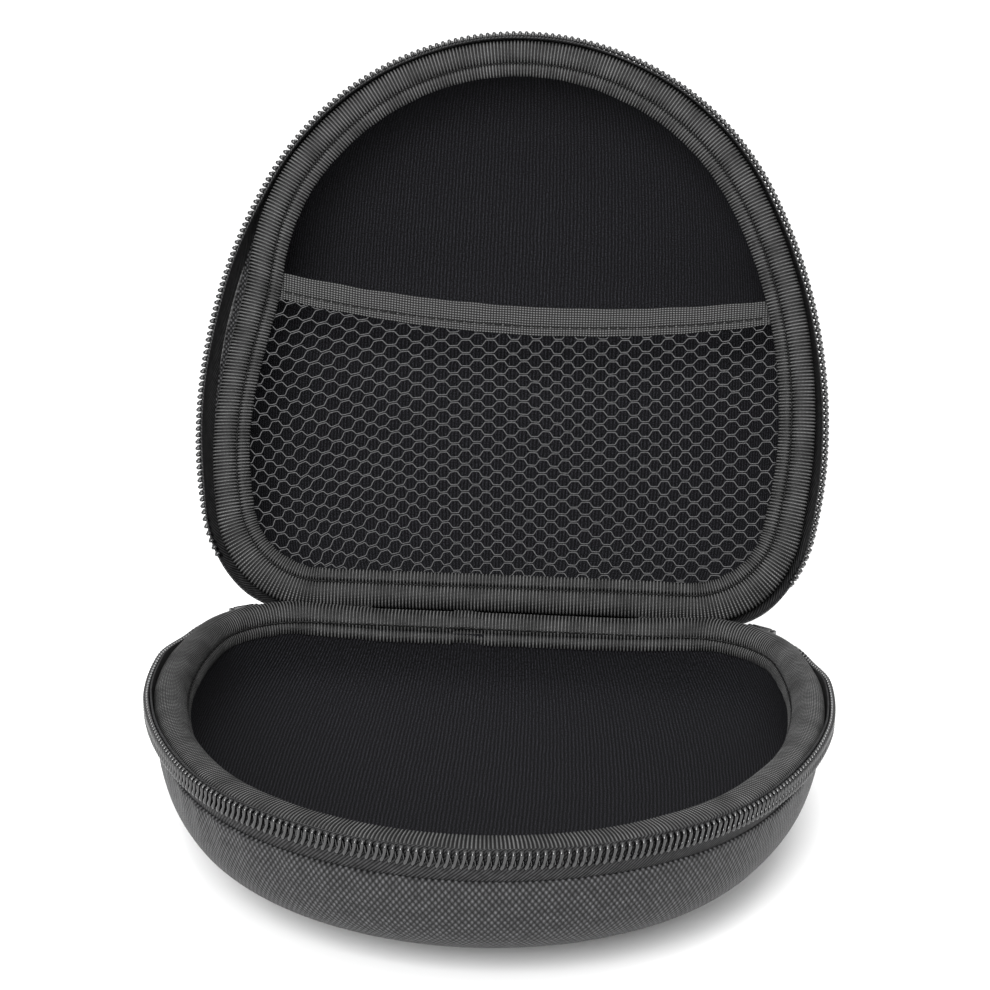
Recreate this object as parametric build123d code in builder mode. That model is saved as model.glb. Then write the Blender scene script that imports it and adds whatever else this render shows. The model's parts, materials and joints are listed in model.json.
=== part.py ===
"""Headphone carrying case: two moulded clamshell shells, joined by a fabric hinge
at the back and closed by a coil zip that runs round their rims.

Frame: the base rests on Z = 0, the front of the case looks towards -Y, and the
origin is the middle of the base's flat bottom. The lid stands open as drawn.

Both shells are drawn in the same way, each in its own rim plane. In that plane
X runs across the case, Y from the hinge line to the front, and Z (the depth)
from the mouth of the shell into its bowl. The hinge line is the outer face of
the shell's back wall.
"""
import os
from math import acos, asin, cos, degrees, radians, sin

from build123d import *

os.makedirs("parts", exist_ok=True)

# ---- Plan of a shell's outer wall -----------------------------------------
shell_width = 190.0        # across, at the widest
shell_length = 180.0       # hinge line to front
front_radius = 87.0        # round nose
side_radius = 159.0        # slack sides that run from the nose to the back corners
corner_radius = 33.0       # back corners

# ---- Depth and wall --------------------------------------------------------
shell_depth = 46.0         # rim plane to flat bottom
collar_depth = 16.0        # upright part of the wall, under the rim
bowl_reach = 56.0          # how far in from the wall the flat bottom starts
bowl_rise_power = 3.1      # how late the wall starts to turn in
bowl_floor_power = 1.35    # how softly it meets the flat bottom
corner_share = 0.6         # how much of their radius the back corners lose on the way
cover_thickness = 0.9      # outer fabric
foam_thickness = 4.1       # moulded foam
lining_thickness = 0.6     # knitted lining
rim_lip = 3.0              # extra foam inwards, where the rim is bound
rim_gap = 0.2              # parting plane to the top of each binding
fit_gap = 0.15             # between pieces that lie on each other

# ---- Binding, its seam and the zip -----------------------------------------
binding_thickness = 1.0    # folded grosgrain, both layers
binding_drop = 5.8         # how far it comes down outside
flange_width = 3.4         # turned-in edge, past the seam
seam_pitch_in = 5.2        # seam line, in from the wall's outer face
thread_radius = 0.3
tape_thickness = 0.5
tape_stand = 2.85          # tape's inner face, out from the wall
tape_top = 3.0             # below the parting plane
tape_bend = 10.4           # where the tape starts to lean back to the wall
tape_foot = 16.4           # where it meets the wall
tape_hem = 1.2             # flat on the wall
coil_height = 5.4          # width of the coil, up the tape
coil_thickness = 1.6
coil_drop = 0.2            # coil's top edge, below the tape's
chain_end = 46.0           # the chain stops this far from the middle of the back
hinge_half_width = 43.0    # fabric hinge fills the gap between the chain's ends

# ---- Hinge -----------------------------------------------------------------
lid_open = 110.0           # degrees from shut, as drawn
lid_open_max = 150.0
hinge_drop = 6.0           # hinge axis, below the parting plane

# ---- Pocket in the lid -----------------------------------------------------
pocket_height = 87.0       # hinge line to the lower edge of the elastic band
elastic_width = 9.6
elastic_sag = 7.0          # its middle hangs lower than its ends
elastic_thickness = 1.2
net_thickness = 0.6
net_depth = 3.4            # how far the net lies in from the parting plane

# ---- Zip sliders and pulls -------------------------------------------------
slider_length = 11.0
plate_thickness = 1.2
slider_top = 2.0           # below the parting plane
slider_bottom = 9.4
slide_clearance = 0.3
park_angle = 56.0          # round the back corner, from straight sideways
pull_length = 27.0
pull_width = 7.2
pull_thickness = 1.4
bar_radius = 0.8
bar_clearance = 0.06
ear_width = 1.1
pull_side_gap = 0.3

# ---- Worked out ------------------------------------------------------------
wall_thickness = cover_thickness + foam_thickness + lining_thickness
wall_top = rim_gap + binding_thickness + fit_gap
coil_back = tape_stand + tape_thickness + 0.05
coil_front = coil_back + coil_thickness
half = shell_length / 2

base_rim = Plane(origin=(0, half, shell_depth), x_dir=(1, 0, 0), z_dir=(0, 0, -1))
hinge_axis = Vector(0, half + coil_front, shell_depth - hinge_drop)
opening = radians(lid_open)
lid_down = Vector(0, sin(opening), cos(opening))        # rim plane into the lid's bowl
lid_front = Vector(0, -cos(opening), sin(opening))      # hinge line to the lid's front
lid_rim = Plane(
    origin=hinge_axis + lid_down * hinge_drop + lid_front * coil_front,
    x_dir=(-1, 0, 0),
    z_dir=lid_down,
)


# ---- The rim outline -------------------------------------------------------
def rim_arcs(inset=0.0, bowl=0.0):
    """Centres and angles of the outline's arcs, inset from the wall's outer face.

    Past the collar the back corners keep part of their radius, so that the
    bowl stays round where a plain offset would come to a point.
    """
    total = inset + bowl
    nose, side = front_radius - total, side_radius - total
    corner = (corner_radius - inset) * (1 - corner_share * bowl / bowl_reach)
    lean = acos((side_radius - shell_width / 2) / (side_radius - front_radius))
    nose_y = shell_length - front_radius
    side_x = -(side_radius - front_radius) * cos(lean)
    side_y = nose_y - (side_radius - front_radius) * sin(lean)
    turn = asin((total + corner - side_y) / (side - corner))
    corner_x = side_x + (side - corner) * cos(turn)
    return dict(nose=nose, side=side, corner=corner, nose_y=nose_y,
                side_x=side_x, side_y=side_y, corner_x=corner_x,
                corner_y=total + corner, back_y=total,
                lean=degrees(lean), turn=degrees(turn))


def rim_outline(inset=0.0, bowl=0.0, gap=0.0):
    """The outline as lines; with a gap it stops short of the middle of the back."""
    a = rim_arcs(inset, bowl)
    right, left = a["corner_x"], -a["corner_x"]
    if gap:
        Line((gap, a["back_y"]), (right, a["back_y"]))
    CenterArc((right, a["corner_y"]), a["corner"], -90, 90 + a["turn"])
    CenterArc((a["side_x"], a["side_y"]), a["side"], a["turn"], a["lean"] - a["turn"])
    CenterArc((0, a["nose_y"]), a["nose"], a["lean"], 180 - 2 * a["lean"])
    CenterArc((-a["side_x"], a["side_y"]), a["side"], 180 - a["lean"], a["lean"] - a["turn"])
    CenterArc((left, a["corner_y"]), a["corner"], 180 - a["turn"], 90 + a["turn"])
    if gap:
        Line((left, a["back_y"]), (-gap, a["back_y"]))
    else:
        Line((left, a["back_y"]), (right, a["back_y"]))


def bowl_loft(rim, skin, lip=0.0, mode=Mode.ADD):
    """A solid bowl whose wall and bottom lie `skin` in from the shell's outer face."""
    drop = shell_depth - skin - collar_depth
    sections = [(wall_top, skin + lip, 0.0), (wall_top + binding_drop, skin + lip, 0.0),
                (collar_depth, skin, 0.0)]
    for step in (5, 12, 22, 34, 48, 64, 78, 90):
        t = radians(step)
        depth = collar_depth + drop * sin(t) ** (2 / bowl_rise_power)
        reach = bowl_reach * (1 - max(cos(t), 0.0) ** (2 / bowl_floor_power))
        sections.append((depth, skin, reach))
    with BuildPart(mode=Mode.PRIVATE) as bowl:
        for depth, inset, reach in sections:
            with BuildSketch(rim.offset(depth)):
                with BuildLine():
                    rim_outline(inset, reach)
                make_face()
        loft(ruled=True)
    add(bowl.part, mode=mode)


def rim_band(rim, points, gap=0.0):
    """A band round the rim; its section's points are (out from the wall, depth)."""
    back_x = gap or 0.0
    with BuildLine(rim) as path:
        rim_outline(gap=gap)
    start = Plane(origin=rim.from_local_coords((back_x, 0, 0)), x_dir=-rim.y_dir, z_dir=rim.x_dir)
    side = 1 if start.y_dir.dot(rim.z_dir) > 0 else -1
    with BuildSketch(start) as section:
        with BuildLine():
            Polyline(*[(out, side * depth) for out, depth in points], close=True)
        make_face()
    sweep(section.sketch, path=path.wire())


# ---- Shell layers ----------------------------------------------------------
foam_skin = cover_thickness
lining_skin = cover_thickness + foam_thickness

with BuildPart() as base_outer_cover:
    bowl_loft(base_rim, 0.0)
    bowl_loft(base_rim, foam_skin, mode=Mode.SUBTRACT)

with BuildPart() as base_foam_core:
    bowl_loft(base_rim, foam_skin)
    bowl_loft(base_rim, lining_skin, rim_lip, mode=Mode.SUBTRACT)

with BuildPart() as base_lining:
    bowl_loft(base_rim, lining_skin, rim_lip)
    bowl_loft(base_rim, wall_thickness, rim_lip, mode=Mode.SUBTRACT)

with BuildPart() as lid_outer_cover:
    bowl_loft(lid_rim, 0.0)
    bowl_loft(lid_rim, foam_skin, mode=Mode.SUBTRACT)

with BuildPart() as lid_foam_core:
    bowl_loft(lid_rim, foam_skin)
    bowl_loft(lid_rim, lining_skin, rim_lip, mode=Mode.SUBTRACT)

with BuildPart() as lid_lining:
    bowl_loft(lid_rim, lining_skin, rim_lip)
    bowl_loft(lid_rim, wall_thickness, rim_lip, mode=Mode.SUBTRACT)

# ---- Binding: folded over the rim, its inner edge lying on the lining -------
outer_leg = fit_gap + binding_thickness
inner_face = wall_thickness + rim_lip + fit_gap
seam_groove = 2.2 * thread_radius
binding_section = [
    (fit_gap, rim_gap + binding_drop),
    (outer_leg, rim_gap + binding_drop),
    (outer_leg, rim_gap),
    (-seam_pitch_in + seam_groove, rim_gap),
    (-seam_pitch_in + seam_groove, rim_gap + binding_thickness / 2),
    (-seam_pitch_in - seam_groove, rim_gap + binding_thickness / 2),
    (-seam_pitch_in - seam_groove, rim_gap),
    (-inner_face - binding_thickness, rim_gap),
    (-inner_face - binding_thickness, rim_gap + flange_width),
    (-inner_face, rim_gap + flange_width),
    (-inner_face, wall_top - fit_gap),
    (fit_gap, wall_top - fit_gap),
]

with BuildPart() as base_edge_binding:
    rim_band(base_rim, binding_section)

with BuildPart() as lid_edge_binding:
    rim_band(lid_rim, binding_section)

# ---- Seam thread, sunk in the binding's groove ------------------------------
thread_depth = rim_gap + binding_thickness / 2 - thread_radius - 0.05


def rim_cord(rim, out, depth, radius):
    """A round cord that runs all the way round the rim."""
    with BuildLine(rim.offset(depth)) as path:
        rim_outline(-out)
    start = Plane(origin=path.wire() @ 0, z_dir=path.wire() % 0)
    with BuildSketch(start) as section:
        Circle(radius)
    sweep(section.sketch, path=path.wire())


with BuildPart() as base_seam_thread:
    rim_cord(base_rim, -seam_pitch_in, thread_depth, thread_radius)

with BuildPart() as lid_seam_thread:
    rim_cord(lid_rim, -seam_pitch_in, thread_depth, thread_radius)

# ---- Zip: tape sewn to the wall's foot, coil along its free edge ------------
tape_section = [
    (tape_stand, tape_top),
    (tape_stand, tape_bend),
    (fit_gap, tape_foot),
    (fit_gap, tape_foot + tape_hem),
    (fit_gap + tape_thickness, tape_foot + tape_hem),
    (fit_gap + tape_thickness, tape_foot + tape_thickness / 4),
    (tape_stand + tape_thickness, tape_bend + tape_thickness / 4),
    (tape_stand + tape_thickness, tape_top),
]
coil_top = tape_top + coil_drop
coil_section = [
    (coil_back, coil_top),
    (coil_back, coil_top + coil_height),
    (coil_front, coil_top + coil_height),
    (coil_front, coil_top),
]

with BuildPart() as base_zipper_tape:
    rim_band(base_rim, tape_section, gap=chain_end)

with BuildPart() as base_zipper_coil:
    rim_band(base_rim, coil_section, gap=chain_end)

with BuildPart() as lid_zipper_tape:
    rim_band(lid_rim, tape_section, gap=chain_end)

with BuildPart() as lid_zipper_coil:
    rim_band(lid_rim, coil_section, gap=chain_end)

# ---- Fabric hinge: its base half, on the back wall between the chain's ends --
with BuildPart() as hinge_strip:
    with BuildSketch(Plane(origin=base_rim.from_local_coords((hinge_half_width, 0, 0)),
                           x_dir=-base_rim.y_dir, z_dir=-base_rim.x_dir)):
        with BuildLine():
            Polyline(*tape_section, close=True)
        make_face()
    extrude(amount=2 * hinge_half_width)

# ---- Pocket in the lid: net below, elastic band along its top edge -----------
net_inset = inner_face + binding_thickness + fit_gap
band_inset = net_inset + fit_gap

def mouth_half(height, inset):
    """Half the mouth's width at a height above the hinge line."""
    a = rim_arcs(inset)
    return a["side_x"] + (a["side"] ** 2 - (height - a["side_y"]) ** 2) ** 0.5


band_half = mouth_half(pocket_height, band_inset)
sag_radius = (band_half ** 2 + elastic_sag ** 2) / (2 * elastic_sag)


def pocket_edge(height, top):
    """The region of the lid's mouth above or below the sagging line at `height`."""
    centre_y = height + sag_radius
    with Locations((0, centre_y)):
        Circle(sag_radius, mode=Mode.SUBTRACT if top else Mode.INTERSECT)


with BuildPart() as pocket_mesh:
    with BuildSketch(lid_rim.offset(net_depth)):
        with BuildLine():
            rim_outline(net_inset)
        make_face()
        pocket_edge(pocket_height - fit_gap, top=True)
        with Locations((0, shell_length)):
            Rectangle(2 * shell_width, 2 * (shell_length - pocket_height - elastic_sag
                                            - elastic_width), mode=Mode.SUBTRACT)
    extrude(amount=net_thickness)

with BuildPart() as pocket_elastic_band:
    with BuildSketch(lid_rim.offset(net_depth)):
        with BuildLine():
            rim_outline(band_inset)
        make_face()
        pocket_edge(pocket_height, top=False)
        pocket_edge(pocket_height + elastic_width, top=True)
        with Locations((0, shell_length)):
            Rectangle(2 * shell_width, 2 * (shell_length - pocket_height - elastic_sag
                                            - elastic_width), mode=Mode.SUBTRACT)
    extrude(amount=elastic_thickness)

with BuildPart() as pocket_elastic_thread:
    seam_y = pocket_height + elastic_width / 3
    seam_half = mouth_half(seam_y + 2 * elastic_sag, band_inset) - 2 * thread_radius
    span = asin(seam_half / sag_radius)
    with BuildLine(lid_rim.offset(net_depth - 1.2 * thread_radius)) as path:
        CenterArc((0, seam_y + sag_radius), sag_radius, -90 - degrees(span), 2 * degrees(span))
    with BuildSketch(Plane(origin=path.wire() @ 0, z_dir=path.wire() % 0)):
        Circle(thread_radius)
    sweep(path=path.wire())

# ---- Sliders and pulls, parked round the back corners -----------------------
corner = rim_arcs()
corner_centre = {side: base_rim.from_local_coords((side * corner["corner_x"],
                                                   corner["corner_y"], 0))
                 for side in (1, -1)}


def slider_plane(side):
    """Origin on the rim's wall face; X outwards, Y along the chain, Z up."""
    turn = radians(park_angle)
    out = Vector(side * cos(turn), sin(turn), 0)
    return Plane(origin=corner_centre[side] + out * corner_radius, x_dir=out, z_dir=(0, 0, 1))


chain_sag = slider_length ** 2 / (8 * (corner_radius + tape_stand))
inner_plate = tape_stand - slide_clearance - chain_sag - plate_thickness / 2
outer_plate = coil_front + slide_clearance
plate_face = outer_plate + plate_thickness
bar_out = plate_face + bar_radius + pull_thickness / 2 + 0.4
bar_depth = slider_top + bar_radius + pull_thickness
eye_radius = bar_radius + bar_clearance + pull_thickness / 2


def block(x, y, z):
    """A box from pairs of limits in the plane it is drawn in."""
    with Locations(((x[0] + x[1]) / 2, (y[0] + y[1]) / 2, (z[0] + z[1]) / 2)):
        Box(x[1] - x[0], y[1] - y[0], z[1] - z[0])


def slider_body(side):
    along = (-slider_length / 2, slider_length / 2)
    tall = (-slider_bottom, -slider_top)
    ear_in = pull_width / 2 + pull_side_gap
    with Locations(slider_plane(side)):
        block((outer_plate, plate_face), along, tall)
        block((inner_plate, inner_plate + plate_thickness / 2), along, tall)
        block((inner_plate, plate_face), along, (-tape_top + slide_clearance, -slider_top))
        for end in (1, -1):
            ear = sorted((end * ear_in, end * (ear_in + ear_width)))
            block((plate_face, bar_out + bar_radius), ear,
                  (-bar_depth - bar_radius, -bar_depth + bar_radius))
        with Locations((bar_out, 0, -bar_depth)):
            Cylinder(bar_radius, 2 * ear_in, rotation=(90, 0, 0))


def slider_pull(side):
    with Locations(slider_plane(side)):
        with Locations((bar_out, 0, -bar_depth)):
            Cylinder(eye_radius, pull_width, rotation=(90, 0, 0))
        block((bar_out - pull_thickness / 2, bar_out + pull_thickness / 2),
              (-pull_width / 2, pull_width / 2),
              (-bar_depth - pull_length, -bar_depth))
        with Locations((bar_out, 0, -bar_depth)):
            Cylinder(bar_radius + bar_clearance, pull_width, rotation=(90, 0, 0),
                     mode=Mode.SUBTRACT)


with BuildPart() as right_slider_body:
    slider_body(1)

with BuildPart() as left_slider_body:
    slider_body(-1)

with BuildPart() as right_pull_tab:
    slider_pull(1)

with BuildPart() as left_pull_tab:
    slider_pull(-1)

# ---- Out -------------------------------------------------------------------
nodes = dict(
    base_outer_cover=base_outer_cover,
    base_foam_core=base_foam_core,
    base_lining=base_lining,
    base_edge_binding=base_edge_binding,
    base_seam_thread=base_seam_thread,
    base_zipper_tape=base_zipper_tape,
    base_zipper_coil=base_zipper_coil,
    lid_outer_cover=lid_outer_cover,
    lid_foam_core=lid_foam_core,
    lid_lining=lid_lining,
    lid_edge_binding=lid_edge_binding,
    lid_seam_thread=lid_seam_thread,
    lid_zipper_tape=lid_zipper_tape,
    lid_zipper_coil=lid_zipper_coil,
    pocket_mesh=pocket_mesh,
    pocket_elastic_band=pocket_elastic_band,
    pocket_elastic_thread=pocket_elastic_thread,
    hinge_strip=hinge_strip,
    right_slider_body=right_slider_body,
    left_slider_body=left_slider_body,
    right_pull_tab=right_pull_tab,
    left_pull_tab=left_pull_tab,
)
for name, node in nodes.items():
    node.part.label = name
    export_step(node.part, f"parts/{name}.step")
    box = node.part.bounding_box()
    print(f"{name:24s} {node.part.volume / 1000:8.2f} cm3  "
          f"{box.size.X:6.1f} x {box.size.Y:6.1f} x {box.size.Z:6.1f} mm")
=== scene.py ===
# %% [markdown]
# # A clamshell case for headphones
# Two moulded shells face each other on a fabric hinge, and a coil zip runs round both rims.
# The CAD model fixes every size, place and joint. This script makes what is seen: woven
# fabric, ribbed binding, the zip's coil, stitches, the net of the pocket and the knit
# lining. The CAD solids stay in the file, hidden, and carry the motion.

import json
from math import acos, asin, cos, degrees, exp, pi, radians, sin, tau

import bmesh
import bpy
import numpy as np
from mathutils import Matrix, Vector, noise


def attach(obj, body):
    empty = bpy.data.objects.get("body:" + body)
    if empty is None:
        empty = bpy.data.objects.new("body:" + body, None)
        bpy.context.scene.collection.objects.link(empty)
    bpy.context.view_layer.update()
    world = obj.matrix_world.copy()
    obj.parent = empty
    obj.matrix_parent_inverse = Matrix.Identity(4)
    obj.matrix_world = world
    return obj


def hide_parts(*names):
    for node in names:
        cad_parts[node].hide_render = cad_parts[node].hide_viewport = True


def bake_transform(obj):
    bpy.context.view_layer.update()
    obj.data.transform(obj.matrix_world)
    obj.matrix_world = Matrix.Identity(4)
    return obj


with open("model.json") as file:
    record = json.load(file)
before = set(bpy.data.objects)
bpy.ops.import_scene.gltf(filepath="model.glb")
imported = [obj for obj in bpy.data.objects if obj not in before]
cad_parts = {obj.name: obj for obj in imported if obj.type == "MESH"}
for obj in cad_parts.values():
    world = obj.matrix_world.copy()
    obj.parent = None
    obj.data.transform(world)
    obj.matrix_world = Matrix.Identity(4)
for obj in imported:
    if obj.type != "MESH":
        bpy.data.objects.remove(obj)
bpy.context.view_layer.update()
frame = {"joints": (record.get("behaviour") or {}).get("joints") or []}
MM = 0.001

# %% [markdown]
# ## One drawing for both shells
# The shells are mirror images, so one outline serves both: a round nose, slack sides and
# round back corners. Everything is drawn in millimetres in the plane of a rim, as
# "across", "front" (from the hinge line to the nose) and "down" (into the bowl). A Rim
# then puts such a point in the world, for the base or for the open lid. Drawing this way
# keeps a binding or a coil a plain list of "how far out, how deep".

# %% Shell sizes, in millimetres
SHELL_WIDTH, SHELL_LENGTH, SHELL_DEPTH = 190.0, 180.0, 46.0
NOSE_RADIUS, SIDE_RADIUS, CORNER_RADIUS = 87.0, 159.0, 33.0
COLLAR_DEPTH = 16.0
BOWL_REACH, RISE_POWER, FLOOR_POWER, CORNER_SHARE = 56.0, 3.1, 1.35, 0.6
WALL, LIP = 5.6, 3.0
COIL_OUT, HINGE_DROP = 5.0, 6.0
CHAIN_END, HINGE_HALF, LID_COIL_END = 46.0, 43.0, 90.0

hinge = next(j for j in frame["joints"] if j["name"] == "lid_hinge")
hinge_at = Vector(hinge["pos_m"])
opened = radians(-hinge["range_deg"][0])


class Rim:
    """The plane of a shell's mouth, with the hinge line's middle as its origin."""

    def __init__(self, across, front, down, rise):
        self.across, self.front, self.down = Vector(across), Vector(front), Vector(down)
        self.origin = hinge_at + (self.down * rise + self.front * COIL_OUT) * MM

    def at(self, x, y, depth):
        """World place of one (across, front, down) point."""
        return self.origin + (self.across * x + self.front * y + self.down * depth) * MM

    def rows(self, flat):
        """World places for an array of (across, front, down) points."""
        axes = np.array([self.across, self.front, self.down])
        return np.array(self.origin) + (flat @ axes) * MM


base_rim = Rim((1, 0, 0), (0, -1, 0), (0, 0, -1), -HINGE_DROP)
lid_rim = Rim((-1, 0, 0), (0, -cos(opened), sin(opened)), (0, sin(opened), cos(opened)),
              HINGE_DROP)
RIMS = {"base": base_rim, "lid": lid_rim}
print("lid opened", round(degrees(opened)), "degrees, its rim starts at", lid_rim.origin)


# %% The outline, as arcs
def rim_arcs(inset=0.0, reach=0.0):
    """Radii, centres and angles of the outline, `inset` + `reach` in from the wall.

    An inset is a plain offset. Reach is how far the bowl has turned in, and there the
    back corners lose only part of their radius, so they stay round.
    """
    total = inset + reach
    nose, side = NOSE_RADIUS - total, SIDE_RADIUS - total
    corner = (CORNER_RADIUS - inset) * (1 - CORNER_SHARE * reach / BOWL_REACH)
    lean = acos((SIDE_RADIUS - SHELL_WIDTH / 2) / (SIDE_RADIUS - NOSE_RADIUS))
    nose_y = SHELL_LENGTH - NOSE_RADIUS
    side_x = -(SIDE_RADIUS - NOSE_RADIUS) * cos(lean)
    side_y = nose_y - (SIDE_RADIUS - NOSE_RADIUS) * sin(lean)
    turn = asin((total + corner - side_y) / (side - corner))
    corner_x = side_x + (side - corner) * cos(turn)
    right = [((corner_x, total + corner), corner, -pi / 2, turn),
             ((side_x, side_y), side, turn, lean)]
    left = [((-x, y), r, pi - b, pi - a) for (x, y), r, a, b in reversed(right)]
    return corner_x, total, right + [((0, nose_y), nose, lean, pi - lean)] + left


def stations(step, gap=0.0):
    """Marks round the outline from the middle of the back: (stretch, share, distance)."""
    corner_x, _, arcs = rim_arcs()
    lengths = [corner_x] + [r * (b - a) for _, r, a, b in arcs] + [corner_x]
    marks, start = [], 0.0
    for stretch, length in enumerate(lengths):
        low = gap / length if stretch == 0 else 0.0
        high = 1 - gap / length if stretch == len(lengths) - 1 else 1.0
        count = max(1, round(length * (high - low) / step))
        for i in range(count):
            share = low + (high - low) * i / count
            marks.append((stretch, share, start + share * length))
        start += length
    if gap:
        marks.append((len(lengths) - 1, high, start - gap))
    return marks, start


def ring(marks, inset=0.0, reach=0.0):
    """Points and outward normals of the outline at those marks."""
    corner_x, back_y, arcs = rim_arcs(inset, reach)
    points = np.zeros((len(marks), 2))
    normals = np.zeros((len(marks), 2))
    for i, (stretch, share, _) in enumerate(marks):
        if stretch in (0, len(arcs) + 1):
            x = corner_x * (share if stretch == 0 else share - 1)
            points[i], normals[i] = (x, back_y), (0, -1)
        else:
            (cx, cy), radius, a, b = arcs[stretch - 1]
            angle = a + (b - a) * share
            normals[i] = cos(angle), sin(angle)
            points[i] = cx + radius * normals[i][0], cy + radius * normals[i][1]
    return points, normals


PERIMETER = stations(10.0)[1]
print("rim outline is", round(PERIMETER), "mm round")

# %% [markdown]
# ## Skins over rows of points
# Most pieces here are rows of points joined by quads: a section carried round the rim, or
# rings that shrink into the bottom of a bowl. Each skin also gets a UV map named "cloth"
# that counts real millimetres along and across the fabric, so a weave keeps its size and
# follows the cloth instead of the world.


# %% Building a skin
def link(name, mesh):
    """An object that shows a mesh."""
    made = bpy.data.objects.new(name, mesh)
    bpy.context.scene.collection.objects.link(made)
    return made


def tidy(mesh, sharp=50):
    """Welds seams and poles, turns faces outwards and shades smooth but for hard edges."""
    work = bmesh.new()
    work.from_mesh(mesh)
    bmesh.ops.remove_doubles(work, verts=work.verts, dist=1e-6)
    bmesh.ops.dissolve_degenerate(work, edges=work.edges, dist=1e-7)
    bmesh.ops.recalc_face_normals(work, faces=work.faces)
    work.to_mesh(mesh)
    work.free()
    mesh.shade_smooth()
    mesh.set_sharp_from_angle(angle=radians(sharp))
    return mesh


def skin(name, rows, cloth, round_section=True, round_rim=True):
    """Quads between rows of points, all rows equally long. `cloth` has one more of each."""
    rows = np.asarray(rows, float)
    count, width = rows.shape[:2]
    r = np.arange(count if round_section else count - 1)
    c = np.arange(width if round_rim else width - 1)
    r, c = np.meshgrid(r, c, indexing="ij")
    r2, c2 = (r + 1) % count, (c + 1) % width
    quads = np.stack([r * width + c, r * width + c2, r2 * width + c2, r2 * width + c], -1)
    mesh = bpy.data.meshes.new(name)
    mesh.from_pydata(rows.reshape(-1, 3).tolist(), [], quads.reshape(-1, 4).tolist())
    layer = mesh.uv_layers.new(name="cloth")
    corners = [cloth[r, c], cloth[r, c + 1], cloth[r + 1, c + 1], cloth[r + 1, c]]
    layer.data.foreach_set("uv", np.stack(corners, -2).reshape(-1).astype(np.float32))
    return link(name, tidy(mesh))


def capped(made, sharp=50):
    """Closes the two open ends of a strip."""
    work = bmesh.new()
    work.from_mesh(made.data)
    bmesh.ops.holes_fill(work, edges=[e for e in work.edges if e.is_boundary], sides=0)
    work.to_mesh(made.data)
    work.free()
    tidy(made.data, sharp)
    return made


def smooth_line(points, per_span=4, closed=False):
    """A Catmull-Rom curve through given points."""
    pts = [Vector(p) for p in points]
    spans = len(pts) if closed else len(pts) - 1
    pick = (lambda i: pts[i % len(pts)]) if closed else (
        lambda i: pts[min(max(i, 0), len(pts) - 1)])
    made = []
    for i in range(spans):
        a, b, c, d = (pick(i + k) for k in (-1, 0, 1, 2))
        for k in range(per_span):
            t = k / per_span
            made.append(0.5 * (2 * b + (c - a) * t + (2 * a - 5 * b + 4 * c - d) * t * t
                               + (3 * b - a - 3 * c + d) * t ** 3))
    return made if closed else made + [pts[-1]]


# %% [markdown]
# ### What a soft rim does
# A real case is not as even as its pattern. The lining and the elastic draw one long side
# of the lid inwards. The zip's chain is longer than the rim it is sewn to, so where no
# slider holds it, it stands a little higher and further out than the wall below. Round
# the lid's back corners the binding and the tape bunch up and swell. Each of these is a
# small smooth function of the distance round the rim, and every piece that lies there
# asks the same function, so that pieces move together and none cuts into another.

# %% How the rim gives
PULL_AT, PULL_IN, PULL_DEPTH = 174.0, 5.2, 14.0
CHAIN_UP, CHAIN_FADE = 2.8, 30.0
CHAIN_STARTS = {"base": 101.0, "lid": 52.0}
CHAIN_MARKS = (80, 125, 160, 210, 260)
CHAIN_OUT = {"base": (0.0, 1.3, 1.8, 0.9, 0.0), "lid": (2.4, 2.0, 1.1, 0.4, 0.0)}
SWELL, SWELL_AT, SWELL_SPREAD = 1.8, 78.0, 22.0


def pulled_in(distance, depth):
    """How far the lid's rim is drawn inwards by its lining, on one long side only."""
    from_peak = distance - PULL_AT
    spread = 15.0 if from_peak > 0 else 27.0
    fade = max(0.0, 1 - (depth / PULL_DEPTH) ** 1.6)
    return PULL_IN * exp(-(from_peak / spread) ** 2 / 2) * fade


def chain_shift(s, side):
    """How far the free chain stands out and up at `s`, none where the sliders hold it."""
    from_back = min(s, PERIMETER - s)
    free = min(1.0, max(0.0, (from_back - CHAIN_STARTS[side]) / CHAIN_FADE))
    free = free * free * (3 - 2 * free)
    return free * float(np.interp(from_back, CHAIN_MARKS, CHAIN_OUT[side])), -CHAIN_UP * free


def corner_swell(s):
    """How far the lid's binding and tape swell out at `s` round its back corners."""
    return SWELL * exp(-((min(s, PERIMETER - s) - SWELL_AT) / SWELL_SPREAD) ** 2)


def carried(name, rim, section, step, gap=0.0, slack=None, drawn=False):
    """Carries a closed section of (out, depth) points round the rim.

    `slack(distance, index)` moves a point by (out, depth), for puckers. `drawn` lets the
    rim's pull move it too.
    """
    marks, _ = stations(step, gap)
    points, normals = ring(marks)
    distance = np.array([m[2] for m in marks])
    rows = []
    for k, (out, depth) in enumerate(section):
        move = np.array([slack(s, k) for s in distance]) if slack else np.zeros((len(marks), 2))
        outs = out + move[:, 0]
        if drawn:
            outs = outs - np.array([pulled_in(s, depth) for s in distance])
        flat = np.column_stack([points + normals * outs[:, None], depth + move[:, 1]])
        rows.append(rim.rows(flat))
    around = np.append(distance, PERIMETER if not gap else distance[-1])
    across = [0.0]
    for a, b in zip(section, list(section[1:]) + [section[0]]):
        across.append(across[-1] + (Vector(b) - Vector(a)).length)
    cloth = np.stack(np.meshgrid(around, across), -1)
    made = skin(name, rows, cloth, round_rim=not gap)
    return capped(made) if gap else made
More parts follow.
